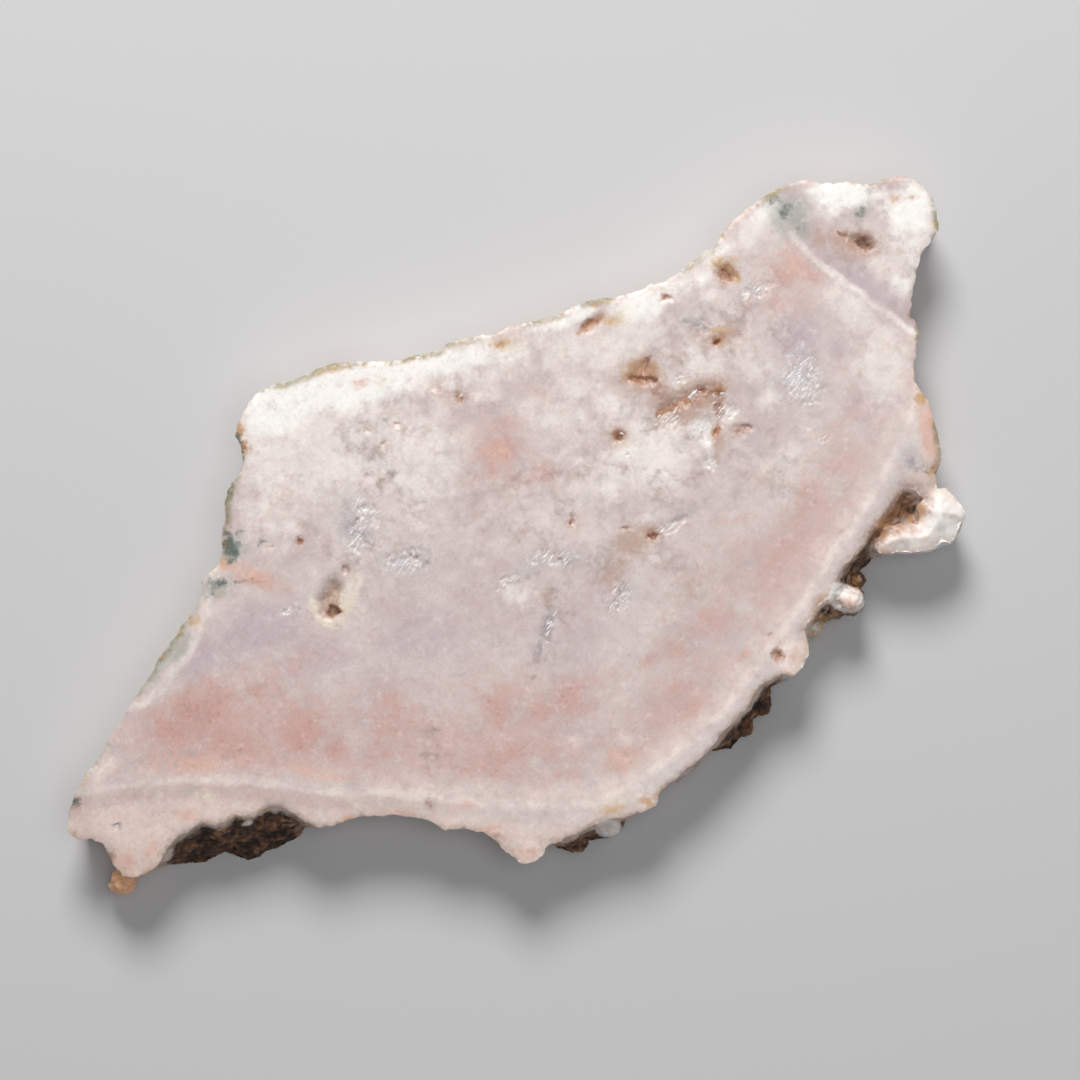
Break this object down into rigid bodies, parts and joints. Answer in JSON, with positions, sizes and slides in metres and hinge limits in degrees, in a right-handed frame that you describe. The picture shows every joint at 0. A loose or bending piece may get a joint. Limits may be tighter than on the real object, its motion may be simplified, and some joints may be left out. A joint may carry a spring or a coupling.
{
  "type": "pink amethyst slice",
  "caption": "Sawn slice of a pink amethyst geode wall with flat faces, open quartz pockets and a rough brown and cream natural rim.",
  "frame": {"origin": "centre of the bounding box's underside, in the plane of the back saw cut that the slice lies on", "axes": "+X along the slice's longest side, from the foot to the thumb; +Y towards the long top edge and the horn; +Z out of the front cut face, so the thickness runs along Z"},
  "size_m": [0.1078, 0.0864, 0.009],
  "materials": {
    "pink_amethyst": "satin"
  },
  "bodies": {
    "root": {"slice": "pink_amethyst"}
  },
  "joints": []
}
